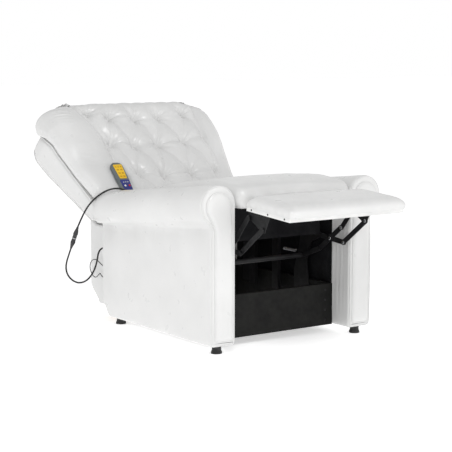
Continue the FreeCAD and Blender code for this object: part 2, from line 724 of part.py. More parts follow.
# The two halves of the plug and socket between the upper and the lower cord.
CONNECTOR = [(0, 3.5), (4, 4), (16, 7), (34, 10), (38, 9), (50, 9), (53.5, 7), (55.5, 7), (59, 9), (71, 9),
             (75, 10), (93, 7), (105, 4)]
plug_start = Vector(*ROUTES["cord_upper"][1][-1])
plug_end = Vector(*ROUTES["cord_lower"][1][0])
plug_line = plug_end - plug_start
plug = doc.addObject("PartDesign::Body", "CordConnector")
turned = plug.newObject("PartDesign::Revolution", "Turned")
turned.Profile = outline(plug, "XZ_Plane", [("0", "0")] + [(str(r), str(z)) for z, r in CONNECTOR]
                         + [("3.5", f"{plug_line.Length}"), ("0", f"{plug_line.Length}")])
turned.ReferenceAxis = (turned.Profile[0], ["V_Axis"])
turned.Angle = 360
plug_place = plug_start - Vector(0, sheet.front_to_origin, 0)
plug.Placement = Placement(plug_place, Rotation(Vector(0, 0, 1), plug_line))
keep(plug, "cord_connector")

# ---------------------------------------------------------------- check and write
doc.recompute()
faults = [item.Name for item in doc.Objects if {"Invalid", "Error"} & set(item.State)]
faults += [item.Label for item in parts if item.Shape.isNull() or not item.Shape.isValid()]
if faults:
    raise RuntimeError(f"failed: {faults}")
os.makedirs("parts", exist_ok=True)
for item in parts:
    item.Shape.exportStep(f"parts/{item.Label}.step")
print(len(parts), "sub-parts written")
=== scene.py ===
"""A white reclining salon chair with a tufted back, a folding footrest and a corded massage handset."""

import json
import math

import bmesh
import bpy
import numpy as np
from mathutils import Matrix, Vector, noise

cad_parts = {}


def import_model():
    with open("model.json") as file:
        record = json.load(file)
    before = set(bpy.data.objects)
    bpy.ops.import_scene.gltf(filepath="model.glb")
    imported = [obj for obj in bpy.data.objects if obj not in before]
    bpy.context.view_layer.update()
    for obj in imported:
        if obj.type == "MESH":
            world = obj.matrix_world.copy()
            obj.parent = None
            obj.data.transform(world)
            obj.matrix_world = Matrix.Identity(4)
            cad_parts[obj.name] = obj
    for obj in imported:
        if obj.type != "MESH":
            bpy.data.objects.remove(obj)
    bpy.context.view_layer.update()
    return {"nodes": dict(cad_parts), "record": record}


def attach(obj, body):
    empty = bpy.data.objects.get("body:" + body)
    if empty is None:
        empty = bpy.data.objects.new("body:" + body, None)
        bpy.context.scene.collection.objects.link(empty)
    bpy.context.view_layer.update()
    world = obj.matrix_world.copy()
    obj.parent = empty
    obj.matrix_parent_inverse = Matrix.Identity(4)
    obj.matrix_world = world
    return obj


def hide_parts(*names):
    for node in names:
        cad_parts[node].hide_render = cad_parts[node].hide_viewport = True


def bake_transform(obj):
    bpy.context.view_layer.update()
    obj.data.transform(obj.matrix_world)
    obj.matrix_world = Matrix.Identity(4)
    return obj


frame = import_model()
nodes = frame["nodes"]

# Lengths are in millimetres, with y counted from the arm fronts, until world() turns them to metres.
FRONT = 494.275
SIDES = {"left": 1, "right": -1}
# The handset's middle across the chair, and its lower end up the back's slope.
HANDSET_X = -246
HANDSET_LOW = 166
# The arm covers run from y 6 to 795 and end in a roll of this radius round this place across the chair.
ARM_FRONT = 6
ARM_RUN = 789
ROLL_X = 348
ROLL_RADIUS = 76.5


# ---- geometry helpers
def world(points):
    """Chair millimetres as metres in the row frame."""
    return (np.asarray(points, float) - (0, FRONT, 0)) / 1000


def smooth(t):
    """Eases from 0 to 1 as t does."""
    t = np.clip(t, 0, 1)
    return t * t * (3 - 2 * t)


def wave(points, size, seed=0.0):
    """Soft noise from -1 to 1 at each point, with lumps about that many millimetres across."""
    flat = np.asarray(points, float).reshape(-1, 3) / size + seed
    values = [noise.noise(Vector(p)) for p in flat]
    return np.array(values).reshape(np.asarray(points).shape[:-1])


def back_frame(x, w, v):
    """Points of the back's own frame (across, rearward through it, up its slope) as chair millimetres."""
    c = math.sqrt(0.5)
    x, w, v = np.broadcast_arrays(x, w, v)
    return np.stack([x, 692 + c * (v + w), 400 + c * (v - w)], axis=-1)


def foot_frame(x, u, n):
    """Points of the footrest's frame (across, to its rear edge, out of its top) as chair millimetres."""
    tilt = math.radians(4.04)
    x, u, n = np.broadcast_arrays(x, u, n)
    y = -50 + math.cos(tilt) * u - math.sin(tilt) * n
    return np.stack([x, y, 535 + math.sin(tilt) * u + math.cos(tilt) * n], axis=-1)


def linked(name, data):
    """A new object in the scene."""
    obj = bpy.data.objects.new(name, data)
    bpy.context.scene.collection.objects.link(obj)
    return obj


def piece(name, points, faces, material, body=None, flat=False):
    """A mesh object from chair millimetres, with its finish, that rides on a body."""
    mesh = bpy.data.meshes.new(name)
    mesh.from_pydata([tuple(p) for p in world(points).reshape(-1, 3)], [], faces)
    bm = bmesh.new()
    bm.from_mesh(mesh)
    bmesh.ops.remove_doubles(bm, verts=bm.verts, dist=1e-6)
    bmesh.ops.recalc_face_normals(bm, faces=bm.faces)
    bm.to_mesh(mesh)
    bm.free()
    mesh.polygons.foreach_set("use_smooth", [not flat] * len(mesh.polygons))
    mesh.materials.append(material)
    obj = linked(name, mesh)
    if body:
        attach(obj, body)
    return obj


def skin(rows, wrap=True, ends=True, start=0):
    """Faces over a grid of points: each row a ring if wrap, with a face over each end if ends."""
    n, m = rows.shape[:2]
    faces = []
    for i in range(n - 1):
        low = start + i * m
        high = low + m
        for j in range(m if wrap else m - 1):
            k = (j + 1) % m
            faces.append((low + j, low + k, high + k, high + j))
    if ends:
        faces.append(tuple(start + j for j in range(m)))
        faces.append(tuple(start + (n - 1) * m + j for j in range(m)))
    return faces


def loft(name, rows, material, body=None, wrap=True, ends=True):
    """One piece skinned over a grid of points."""
    rows = np.asarray(rows, float)
    return piece(name, rows, skin(rows, wrap, ends), material, body)


def several(name, grids, material, body, wrap=True, ends=True):
    """Several like skins as one object."""
    points, faces = [], []
    count = 0
    for rows in grids:
        rows = np.asarray(rows, float)
        faces += skin(rows, wrap, ends, count)
        points.append(rows.reshape(-1, 3))
        count += len(points[-1])
    return piece(name, np.concatenate(points), faces, material, body)


def tube(points, radius, sides=10, closed=False):
    """Rings round a path."""
    p = np.asarray(points, float)
    if closed:
        tangent = np.roll(p, -1, 0) - np.roll(p, 1, 0)
    else:
        tangent = np.gradient(p, axis=0)
    tangent /= np.linalg.norm(tangent, axis=1)[:, None]
    side = np.cross(tangent[0], (0.31, 0.17, 0.93))
    rings = []
    for k, t in enumerate(tangent):
        side = side - t * np.dot(side, t)
        side /= np.linalg.norm(side)
        other = np.cross(t, side)
        angle = np.linspace(0, math.tau, sides, endpoint=False)
        rings.append(p[k] + radius * (np.cos(angle)[:, None] * side + np.sin(angle)[:, None] * other))
    if closed:
        rings.append(rings[0])
    return np.array(rings)


def lathe(profile, centre, axis, sides=24):
    """Rings turned round an axis: the profile is (distance along the axis, radius) pairs."""
    axis = np.asarray(axis, float) / np.linalg.norm(axis)
    side = np.cross(axis, (0.21, 0.94, 0.27))
    side /= np.linalg.norm(side)
    other = np.cross(axis, side)
    angle = np.linspace(0, math.tau, sides, endpoint=False)
    ring = np.cos(angle)[:, None] * side + np.sin(angle)[:, None] * other
    return np.array([np.asarray(centre) + along * axis + radius * ring for along, radius in profile])


def evenly(points, step, rounding, closed=True):
    """A polyline as evenly spaced points, its corners softened over about `rounding` millimetres."""
    p = np.asarray(points, float)
    if closed:
        p = np.vstack([p, p[:1]])
    run = np.concatenate([[0], np.cumsum(np.linalg.norm(np.diff(p, axis=0), axis=1))])
    count = max(8, int(run[-1] / step))
    at = np.linspace(0, run[-1], count, endpoint=not closed)
    even = np.stack([np.interp(at, run, p[:, k]) for k in range(p.shape[1])], axis=1)
    reach = int(3 * rounding / step)
    if reach < 1:
        return even
    weight = np.exp(-0.5 * (np.arange(-reach, reach + 1) * step / rounding) ** 2)
    weight /= weight.sum()
    padded = np.pad(even, ((reach, reach), (0, 0)), mode="wrap" if closed else "edge")
    return np.stack([np.convolve(padded[:, k], weight, "valid") for k in range(p.shape[1])], axis=1)


def outward(loop):
    """Unit normals of a closed flat loop, pointing out of it."""
    tangent = np.roll(loop, -1, 0) - np.roll(loop, 1, 0)
    tangent /= np.linalg.norm(tangent, axis=1)[:, None]
    normal = np.stack([tangent[:, 1], -tangent[:, 0]], axis=1)
    area = np.sum(loop[:, 0] * np.roll(loop[:, 1], -1) - loop[:, 1] * np.roll(loop[:, 0], -1))
    return normal if area > 0 else -normal


def drawn_in(loop, inset):
    """A closed loop moved inwards in small eased steps, so that its corners never cross over."""
    steps = max(1, math.ceil(inset / 1.2))
    for _ in range(steps if inset > 0 else 0):
        loop = loop - inset / steps * outward(loop)
        loop = 0.2 * np.roll(loop, 1, 0) + 0.6 * loop + 0.2 * np.roll(loop, -1, 0)
    return loop


def opening(at, radius, count):
    """Places and insets that round the first end of a lofted piece."""
    angles = np.linspace(0, math.pi / 2, count)
    return [(at + radius * (1 - math.cos(a)), radius * (1 - math.sin(a))) for a in angles]


def closing(at, radius, count):
    """Places and insets that round the last end of a lofted piece."""
    angles = np.linspace(0, math.pi / 2, count)
    return [(at + radius * math.sin(a), radius * (1 - math.cos(a))) for a in angles]


def relaxed(loop, passes):
    """A closed loop with its corners softened by averaging each point with its neighbours."""
    for _ in range(passes):
        loop = 0.25 * np.roll(loop, 1, 0) + 0.5 * loop + 0.25 * np.roll(loop, -1, 0)
    return loop


def polygon(corners, counts):
    """A closed loop of points along straight sides, so many to each side."""
    corners = np.array(corners, float)
    sides = []
    for a, b, count in zip(corners, np.roll(corners, -1, 0), counts):
        sides.append(a + (b - a) * np.linspace(0, 1, count, endpoint=False)[:, None])
    return np.concatenate(sides)


def superellipse(half_x, half_y, power, count):
    """A closed loop between an ellipse and a rectangle, squarer the higher the power."""
    angle = np.linspace(0, math.tau, count, endpoint=False)
    c, s = np.cos(angle), np.sin(angle)
    return np.stack([half_x * np.sign(c) * np.abs(c) ** (2 / power),
                     half_y * np.sign(s) * np.abs(s) ** (2 / power)], axis=1)


# ---- materials
def new_material(name, colour, roughness, **settings):
    """A plain material, with its node tree and shader, for the makers below to work on."""
    material = bpy.data.materials.new(name)
    material.use_nodes = True
    shader = material.node_tree.nodes["Principled BSDF"]
    shader.inputs["Base Color"].default_value = (*colour, 1)
    shader.inputs["Roughness"].default_value = roughness
    for socket, value in settings.items():
        shader.inputs[socket.replace("_", " ")].default_value = value
    return material, material.node_tree, shader


def texture(tree, kind, scale, stretch=(1, 1, 1), **settings):
    """A noise or cell texture in the object's own metres."""
    place = tree.nodes.new("ShaderNodeTexCoord")
    mapping = tree.nodes.new("ShaderNodeMapping")
    mapping.inputs["Scale"].default_value = stretch
    node = tree.nodes.new(kind)
    node.inputs["Scale"].default_value = scale
    for socket, value in settings.items():
        node.inputs[socket].default_value = value
    tree.links.new(place.outputs["Object"], mapping.inputs["Vector"])
    tree.links.new(mapping.outputs["Vector"], node.inputs["Vector"])
    return node


def ramp(tree, source, low, high, start=0.3, end=0.7):
    """A texture's value as a range of grey or a blend of two colours."""
    node = tree.nodes.new("ShaderNodeValToRGB")
    node.color_ramp.elements[0].position = start
    node.color_ramp.elements[1].position = end
    node.color_ramp.elements[0].color = (*low, 1) if len(np.shape(low)) else (low, low, low, 1)
    node.color_ramp.elements[1].color = (*high, 1) if len(np.shape(high)) else (high, high, high, 1)
    tree.links.new(source, node.inputs["Fac"])
    return node.outputs["Color"]


def bump(tree, shader, heights):
    """Stacks bumps, each (height output, strength, distance in metres), onto the shader's normal."""
    last = None
    for height, strength, distance in heights:
        node = tree.nodes.new("ShaderNodeBump")
        node.inputs["Strength"].default_value = strength
        node.inputs["Distance"].default_value = distance
        tree.links.new(height, node.inputs["Height"])
        if last:
            tree.links.new(last, node.inputs["Normal"])
        last = node.outputs["Normal"]
    tree.links.new(last, shader.inputs["Normal"])


def leather(name, low, high, roughness=(0.27, 0.4), grain=0.25):
    """Coated leatherette: fine pebble grain, soft creasing, and a clear top coat."""
    material, tree, shader = new_material(name, high, 0.34, Coat_Weight=0.22, Coat_Roughness=0.22)
    shader.inputs["Specular IOR Level"].default_value = 0.5
    tone = texture(tree, "ShaderNodeTexNoise", 5, Detail=4)
    tree.links.new(ramp(tree, tone.outputs["Fac"], low, high), shader.inputs["Base Color"])
    patch = texture(tree, "ShaderNodeTexNoise", 30, Detail=3)
    tree.links.new(ramp(tree, patch.outputs["Fac"], roughness[0], roughness[1]), shader.inputs["Roughness"])
    pebble = texture(tree, "ShaderNodeTexVoronoi", 420)
    crease = texture(tree, "ShaderNodeTexNoise", 26, (1, 1, 1.6), Detail=1.5, Roughness=0.4)
    bump(tree, shader, [(pebble.outputs["Distance"], grain, 0.00012), (crease.outputs["Fac"], 0.14, 0.003)])
    return material


def painted(name, low, high, roughness, grain_scale, strength, stretch=(1, 1, 1), **settings):
    """A coated or moulded surface: slight mottling, uneven gloss and a fine texture."""
    material, tree, shader = new_material(name, high, sum(roughness) / 2, **settings)
    tone = texture(tree, "ShaderNodeTexNoise", 18, stretch, Detail=5)
    tree.links.new(ramp(tree, tone.outputs["Fac"], low, high), shader.inputs["Base Color"])
    patch = texture(tree, "ShaderNodeTexNoise", 55, stretch, Detail=4)
    tree.links.new(ramp(tree, patch.outputs["Fac"], roughness[0], roughness[1]), shader.inputs["Roughness"])
    fine = texture(tree, "ShaderNodeTexNoise", grain_scale, stretch, Detail=3)
    bump(tree, shader, [(fine.outputs["Fac"], strength, 0.0006)])
    return material


WHITE = leather("white_leatherette", (0.70, 0.70, 0.695), (0.76, 0.76, 0.755))
WELT = leather("white_welt", (0.69, 0.69, 0.685), (0.75, 0.75, 0.745), (0.3, 0.42), 0.3)
MATERIALS = {
    "white_leather": WHITE,
    "frame_wood": painted("planed_pine", (0.42, 0.27, 0.14), (0.66, 0.49, 0.30), (0.5, 0.7), 90, 0.35,
                          (1, 0.12, 1)),
    "black_board": painted("black_fibreboard", (0.005, 0.005, 0.005), (0.011, 0.011, 0.010), (0.55, 0.75),
                           700, 0.25, Specular_IOR_Level=0.16),
    "white_board": painted("white_foil_board", (0.74, 0.74, 0.73), (0.84, 0.84, 0.83), (0.35, 0.5), 500, 0.1),
    "glide_black": painted("glide_plastic", (0.005, 0.005, 0.005), (0.012, 0.012, 0.012), (0.45, 0.6), 900,
                           0.3),
    "spring_steel": painted("spring_wire", (0.30, 0.30, 0.31), (0.55, 0.55, 0.56), (0.25, 0.45), 400, 0.1,
                            Metallic=1.0),
    "felt": painted("needled_felt", (0.008, 0.008, 0.009), (0.025, 0.025, 0.027), (0.85, 0.98), 1400, 0.8,
                    Specular_IOR_Level=0.2),
    "black_steel": painted("black_powder_coat", (0.005, 0.005, 0.006), (0.012, 0.012, 0.013), (0.4, 0.6),
                           1100, 0.25, Specular_IOR_Level=0.28),
    "bright_steel": painted("zinc_plate", (0.42, 0.43, 0.45), (0.68, 0.69, 0.7), (0.22, 0.42), 300, 0.1,
                            (0.15, 1, 1), Metallic=1.0),
    "motor_black": painted("moulded_black", (0.012, 0.012, 0.013), (0.03, 0.03, 0.032), (0.35, 0.55), 800,
                           0.3),
    "cord_black": painted("cord_rubber", (0.004, 0.004, 0.004), (0.01, 0.01, 0.01), (0.4, 0.55), 500, 0.2),
    "handset_grey": painted("handset_shell", (0.10, 0.115, 0.12), (0.16, 0.18, 0.19), (0.32, 0.48), 1500,
                            0.2),
    "handset_blue": painted("handset_navy", (0.012, 0.018, 0.16), (0.02, 0.03, 0.24), (0.2, 0.34), 900, 0.1,
                            Coat_Weight=0.4),
    "handset_yellow": painted("keypad_yellow", (0.78, 0.47, 0.012), (0.88, 0.56, 0.02), (0.34, 0.48), 1300,
                              0.15),
    "button_white": painted("button_white_gloss", (0.72, 0.72, 0.70), (0.82, 0.82, 0.8), (0.15, 0.3), 900,
                            0.05),
    "button_red": painted("button_red_gloss", (0.5, 0.012, 0.02), (0.66, 0.02, 0.03), (0.15, 0.3), 900, 0.05),
}
KEY_EDGE = painted("key_edge_amber", (0.50, 0.27, 0.008), (0.58, 0.32, 0.01), (0.4, 0.5), 900, 0.1)
# Painted shade: near-black sheets set into hollows of the chair, where they stand in for shadow.
PAINTED_SHADE = painted("painted_shade_black", (0.004, 0.004, 0.005), (0.010, 0.010, 0.011), (0.8, 0.95), 1600,
                      0.9, Specular_IOR_Level=0.12)
# The drive tube is drawn near-black, in place of the bright steel its record gives.
DARK_TUBE = painted("dark_drive_tube_finish", (0.012, 0.012, 0.013), (0.03, 0.03, 0.032), (0.4, 0.6), 400, 0.1,
                    Specular_IOR_Level=0.3)

for entry in frame["record"]["subparts"]:
    node = nodes[entry["node"]]
    finish = DARK_TUBE if entry["node"] == "drive_tube" else MATERIALS[entry["material_slot"]]
    for material_slot in node.material_slots:
        material_slot.link = "OBJECT"
        material_slot.material = finish


def shade_sheet(name, rows):
    """A thin black sheet over a grid of points: painted shade, standing in for the shadow in a hollow of the
    chair.
    """
    return loft(name, rows, PAINTED_SHADE, "root", wrap=False, ends=False)


def welt(name, line, radius, body="root", closed=True):
    """A cord sewn along a seam."""
    rings = tube(line, radius, 8, closed=closed)
    return loft(name, rings, WELT, body, ends=not closed)


# ---- camera and cords
camera_data = bpy.data.cameras.new("camera")
camera_data.lens = 112.6
camera_data.sensor_width = 36
camera = linked("camera", camera_data)
camera.location = (-3.2497, -4.662075, 1.138)
turn, drop = math.radians(35.1), math.radians(7.376)
looking = Vector((math.sin(turn) * math.cos(drop), math.cos(turn) * math.cos(drop), -math.sin(drop)))
camera.rotation_mode = "QUATERNION"
camera.rotation_quaternion = looking.to_track_quat("-Z", "Y")
bpy.context.scene.camera = camera

# The cords' routes, from end to end.
HANDSET_CORD = [(-246, 801.2, 525.5), (-246, 784, 508.3), (-247, 767, 492), (-250, 748, 482),
                (-256, 727, 486), (-263, 712, 500), (-271, 706, 518), (-281, 705.5, 533),
                (-293, 705.5, 543), (-320, 706, 550), (-338, 718, 556), (-358, 738, 556),
                (-383, 759, 545), (-409, 780, 523), (-430, 799, 496), (-444, 816, 465),
                (-452, 836, 430), (-456, 858, 395)]
LOWER_CORD = [(-462, 909, 299), (-463.4, 921, 276.5), (-464, 942, 243), (-463, 953, 213), (-459, 947, 184),
              (-451, 919, 163), (-438, 888, 155), (-422, 857, 166), (-406, 838, 192), (-392, 832, 222),
              (-380, 836, 252), (-371, 843, 279), (-356, 849, 297), (-338, 850, 300)]
THIN_LEAD = [(-338, 838, 222), (-347, 840, 223), (-355, 850, 234), (-357, 874, 246), (-356, 905, 247),
             (-354, 936, 232), (-352, 948, 204), (-352, 930, 178), (-353, 898, 168), (-354, 872, 184),
             (-356, 852, 196), (-362, 834, 184), (-366, 795, 180)]


def route_curve(name, route, diameter):
    """A smooth curve that a cord follows, its control points the route's."""
    data = bpy.data.curves.new(name, "CURVE")
    data.dimensions = "3D"
    data.resolution_u = 16
    data.bevel_depth = diameter / 2000
    data.bevel_resolution = 4
    spline = data.splines.new("NURBS")
    spline.points.add(len(route) - 1)
    for point, at in zip(spline.points, world(route)):
        point.co = (*at, 1)
    spline.order_u = 3
    spline.use_endpoint_u = True
    return linked(name, data)


def curve_points(route):
    """Points along a route's smooth curve, in metres."""
    line = route_curve("route_line", route, 0)
    mesh = bpy.data.meshes.new_from_object(line)
    points = np.array([v.co for v in mesh.vertices])
    bpy.data.objects.remove(line)
    bpy.data.meshes.remove(mesh)
    return points


def millimetres(points):
    """Metres in the row frame as chair millimetres."""
    return np.asarray(points) * 1000 + (0, FRONT, 0)


# The two halves of the plug and socket, with ribs round their grips and a ring where they meet.
plug_profile = [(-1, 3.6), (3, 4.2), (8, 5.2), (9, 4.7), (11, 5.6), (12, 5.1), (14, 6.2), (15, 5.7), (17, 7),
                (22, 8), (33, 9.8), (37, 9.8), (38.5, 8.8), (49, 8.8), (50.5, 8.4), (53, 8.2), (53.4, 6.6),
                (55.6, 6.6), (56, 8.4), (58.5, 8.8), (70.5, 8.8), (72, 9.8), (76, 9.8), (87, 8), (92, 7),
                (94, 5.7), (95, 6.2), (97, 5.1), (98, 5.6), (100, 4.7), (101, 5.2), (106, 4.2), (109.9, 3.6)]
plug_start = np.array(HANDSET_CORD[-1], float)
plug_line = np.array(LOWER_CORD[0], float) - plug_start
connector = loft("connector_grips", lathe(plug_profile, plug_start, plug_line), MATERIALS["motor_black"],
                 "root")
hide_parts("cord_connector")
connector_ring = loft("connector_ring", lathe([(-2.4, 8.3), (-2, 9.3), (2, 9.3), (2.4, 8.3)],
                                              plug_start + plug_line / 2, plug_line),
                      MATERIALS["spring_steel"], "root")

handset_path = curve_points(HANDSET_CORD)
handset_cord = loft("handset_cord", tube(millimetres(handset_path), 3.5, 12), MATERIALS["cord_black"])
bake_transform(handset_cord)
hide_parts("handset_lead", "cord_upper")

lower_cord = route_curve("lower_cord", LOWER_CORD, 7)
lower_cord.data.materials.append(MATERIALS["cord_black"])
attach(lower_cord, "root")
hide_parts("cord_lower")

thin_lead = route_curve("thin_motor_lead", THIN_LEAD, 3.5)
thin_lead.data.materials.append(MATERIALS["cord_black"])
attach(thin_lead, "root")
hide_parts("thin_lead")


# ---- arms
def arm_crease(y):
    """How high the crease under the arm's roll is at one depth."""
    return 468 - 62 * (y - ARM_FRONT) / ARM_RUN


def arm_loop(y, inset):
    """The arm's outline across the chair at one depth, drawn in from its surface by `inset`."""
    fall = (y - ARM_FRONT) / ARM_RUN
    roll = 553 - 89 * fall
    crease = arm_crease(y)
    low = 30 + 45 * smooth((y - 742) / 50)
    angle = np.radians(np.linspace(184, -58 + 17 * fall, 48))
    top = np.stack([ROLL_X + ROLL_RADIUS * np.cos(angle), roll + ROLL_RADIUS * np.sin(angle)], axis=1)
    under = np.array([(384, crease + 5), (380.5, crease), (380.5, crease - 4)])
    down = np.linspace(0, 1, 16)
    bow = 3.2 * np.sin(down * math.pi) ** 0.6
    outer = np.stack([379 + bow, crease - 9 - (crease - low - 23) * down], axis=1)
    turn_out = np.radians(np.linspace(0, -90, 7)[1:])
    corner_out = np.stack([365 + 14 * np.cos(turn_out), low + 14 + 14 * np.sin(turn_out)], axis=1)
    corner_in = np.array([(330, low), (300, low), (284, low), (277, low + 3), (274, low + 11)])
    up = np.linspace(0.04, 0.97, 18)
    inner = np.stack([np.full(18, 273.0), low + (roll - low) * up], axis=1)
    loop = np.concatenate([top, under, outer, corner_out, corner_in, inner])
    return loop - inset * outward(loop)


def arm_stations():
    """Depths and insets that round the arm's front and rear ends."""
    middle = [(y, 0) for y in np.linspace(27, 776, 86)]
    return opening(ARM_FRONT, 15, 8) + middle + closing(783, 12, 7)


def cushion_faces(loop, back, thick, round_off):
    """The front and the back of a flat pad with a rounded rim, as grids that share their border."""
    fine = evenly(loop, 1, 0)
    low, high = fine[:, 1].min(), fine[:, 1].max()
    climb = (1 - np.cos(np.linspace(0, math.pi, 40))) / 2
    steps = np.concatenate([0.03 * climb[:-1], np.linspace(0.03, 0.85, 60)[:-1], 0.85 + 0.15 * climb])
    heights = low + 0.05 + (high - low - 0.1) * steps
    over_next = np.roll(fine, -1, 0)
    rows = []
    for z in heights:
        cuts = (fine[:, 1] - z) * (over_next[:, 1] - z) < 0
        t = (z - fine[cuts, 1]) / (over_next[cuts, 1] - fine[cuts, 1])
        x = fine[cuts, 0] + t * (over_next[cuts, 0] - fine[cuts, 0])
        spread = (1 - np.cos(np.linspace(0, math.pi, 33))) / 2
        rows.append(np.stack([x.min() + (x.max() - x.min()) * spread, np.full(33, z)], axis=1))
    rows = np.array(rows)
    distance = np.array([np.linalg.norm(row[:, None] - fine, axis=2).min(axis=1) for row in rows])
    distance[[0, -1], :] = 0
    distance[:, [0, -1]] = 0
    over = np.clip(1 - distance / round_off, 0, 1)
    front = np.stack([rows[..., 0], back - thick * np.sqrt(1 - over ** 2), rows[..., 1]], axis=-1)
    behind = np.stack([rows[..., 0], np.full(distance.shape, back), rows[..., 1]], axis=-1)
    return front, behind


def build_arm(label, side):
    """One arm: its padded cover, the plaque on its front and the welts round both."""
    rows = []
    for y, inset in arm_stations():
        loop = arm_loop(y, inset)
        rows.append(np.stack([side * loop[:, 0], np.full(len(loop), y), loop[:, 1]], axis=1))
    rows = np.array(rows)
    middle = rows[:, :, 1]
    away = (np.abs(rows[:, :, 0]) - 326) / 60
    soft = smooth((middle - ARM_FRONT) / 60) * smooth((ARM_FRONT + ARM_RUN - middle) / 60)
    crease_gap = np.abs(rows[:, :, 2] - arm_crease(middle))
    tucks = 1.6 * np.exp(-crease_gap / 34) * np.sin(middle / 13 + 3 * wave(rows, 120, 4))
    low_waves = 2.4 * wave(rows * (1, 0.8, 1), 150, 1.7 * side)
    rows[:, :, 0] += side * soft * (tucks + low_waves) * (away > 0.2)
    inner = (away < -0.7) * smooth((440 - rows[:, :, 2]) / 30)
    gathers = inner * np.exp(-((middle - 70) / 44) ** 2) * (0.45 + 0.55 * smooth((rows[:, :, 2] - 250) / 120))
    rows[:, :, 0] += side * 4.2 * gathers * np.sin(middle / 3.6 + 2.2 * wave(rows, 90, 9))
    arm = loft(f"arm_{label}", rows, WHITE, "root")
    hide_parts(f"arm_cover_{label}")

    front = evenly([(side * x, z) for x, z in arm_loop(9, 5)], 8, 5)
    rim = np.stack([front[:, 0], np.full(len(front), 9.0), front[:, 1]], axis=1)
    welt(f"arm_front_welt_{label}", rim, 2.4)

    angle = np.radians(np.linspace(-48, 186, 40))
    head = [(ROLL_X + 54 * math.cos(a), 548 + 54 * math.sin(a)) for a in angle]
    keyhole = [(364.5, 50), (364.5, 462)] + head + [(288, 500), (287, 50)]
    loop = evenly([(side * x, z) for x, z in keyhole], 4, 8)
    plaque = several(f"arm_plaque_{label}", cushion_faces(loop, 7, 10.6, 20), WHITE, "root",
                     wrap=False, ends=False)
    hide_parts(f"arm_panel_{label}")
    seam = np.stack([loop[:, 0], np.full(len(loop), 4.4), loop[:, 1]], axis=1)
    welt(f"arm_plaque_welt_{label}", seam, 2.6)


for label, side in SIDES.items():
    build_arm(label, side)

# A black sheet of painted shade stands just inside each arm's inner face, below the seat, so that the hollow
# there reads dark.
for label, side in SIDES.items():
    y, z = np.meshgrid(np.linspace(114, 758, 60), np.linspace(190, 452, 30), indexing="ij")
    shade_grid = np.stack([side * (271.2 - 1.2 * np.abs(np.sin(y / 31))), y, z], axis=-1)
    shade_lining = shade_sheet(f"arm_inner_painted_shade_{label}", shade_grid)


# ---- seat and footrest pads
def pillow(loop, half, radius, count):
    """Stations across a pad: the loop drawn in near both sides, so that its edges are round."""
    across = half * np.sin(np.linspace(-1, 1, count) * math.pi / 2)
    stations = []
    for x in across:
        over = max(0.0, abs(x) - (half - radius)) / radius
        inset = radius * (1 - math.sqrt(max(0.0, 1 - min(over, 1) ** 2)))
        stations.append((x, drawn_in(loop, inset)))
    return stations


SEAT_HALF = 268
seat_side = [(638, 456), (152, 456), (150, 534), (20, 533), (-4, 536), (-10, 558), (-9, 590), (6, 610),
             (60, 620), (160, 625), (250, 622), (360, 609), (480, 590), (590, 570), (636, 550)]
seat_loop = evenly(seat_side, 9, 12)
rows = []
for x, loop in pillow(seat_loop, SEAT_HALF, 34, 90):
    crown = 7 * math.cos(x / SEAT_HALF * math.pi / 2) * smooth((loop[:, 1] - 540) / 60)
    rows.append(np.stack([np.full(len(loop), x), loop[:, 0], loop[:, 1] + crown], axis=1))
rows = np.array(rows)
top = smooth((rows[:, :, 2] - 560) / 60)
edge = smooth((SEAT_HALF - np.abs(rows[:, :, 0])) / 40)
rows[:, :, 2] += top * (3.0 * wave(rows, 170, 2.2) + 1.2 * wave(rows, 46, 5.1))
pull = np.sin(rows[:, :, 0] / 15 + 2.5 * wave(rows, 110, 7.7))
rows[:, :, 1] -= 1.5 * pull * np.exp(-((rows[:, :, 1] + 4) / 26) ** 2) * edge
seat = loft("seat_cushion_cover", rows, WHITE, "root")
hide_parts("seat_cushion")


def swell_profile(distance, reach):
    """Rises from 0 at an edge to 1, steeply at first, over `reach` millimetres."""
    near = np.clip(1 - distance / reach, 0, 1)
    return (1 - near ** 2.4) ** (1 / 2.4)


def pad_faces():
    """The footrest pad's top and bottom, as grids that share their border."""
    half, middle, reach, corner = 267, -131, 135, 13
    columns = half * np.sin(np.linspace(-1, 1, 90) * math.pi / 2)
    lines = middle + reach * np.sin(np.linspace(-1, 1, 60) * math.pi / 2)
    x, u = np.meshgrid(columns, lines, indexing="ij")
    sides = swell_profile(half - np.abs(x), 40)
    height = sides * swell_profile(u - middle + reach, 44) * swell_profile(middle + reach - u, 70)
    p = np.clip((corner - (half - np.abs(x))) / corner, 0, 1)
    q = np.clip((corner - (reach - np.abs(u - middle))) / corner, 0, 1)
    shrink = 1 - np.maximum(p, q) / np.maximum(np.hypot(p, q), 1e-9)
    x = x - np.sign(x) * corner * p * shrink
    u = u - np.sign(u - middle) * corner * q * shrink
    seam = 17 + 0.8 * np.sin(x / 7) * np.sin(u / 9)
    crown = 42 + 2.5 * np.cos(x / half * math.pi / 2)
    lumps = np.stack([x, u, 0 * x], axis=-1)
    n = seam + height * (crown + 1.6 * wave(lumps, 130, 3.3))
    bulge = 6 * np.sin(math.pi * np.clip((n - seam) / 44, 0, 1))
    by_seam = np.exp(-((n - seam - 9) / 9) ** 2)
    gathers = 1.3 * np.sin(lumps[..., 1] / 6.2 + 2 * wave(lumps, 70, 1.4)) * by_seam
    end_gathers = 1.1 * np.sin(x / 5.4) * by_seam * smooth((np.abs(x) - 215) / 30)
    top_x = x + np.sign(x) * (bulge + gathers) * smooth((np.abs(x) - 225) / 40)
    top_u = u - (bulge + end_gathers) * smooth((-215 - u) / 45)
    top = foot_frame(top_x, top_u, n)
    floor_depth = 3 * np.minimum(1, height * 4)
    bottom = foot_frame(x, u, seam - floor_depth)
    for edge in (np.s_[0, :], np.s_[-1, :], np.s_[:, 0], np.s_[:, -1]):
        bottom[edge] = top[edge]
    return top, bottom


pad = several("footrest_cushion", pad_faces(), WHITE, "footrest", wrap=False, ends=False)
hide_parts("footrest_pad")
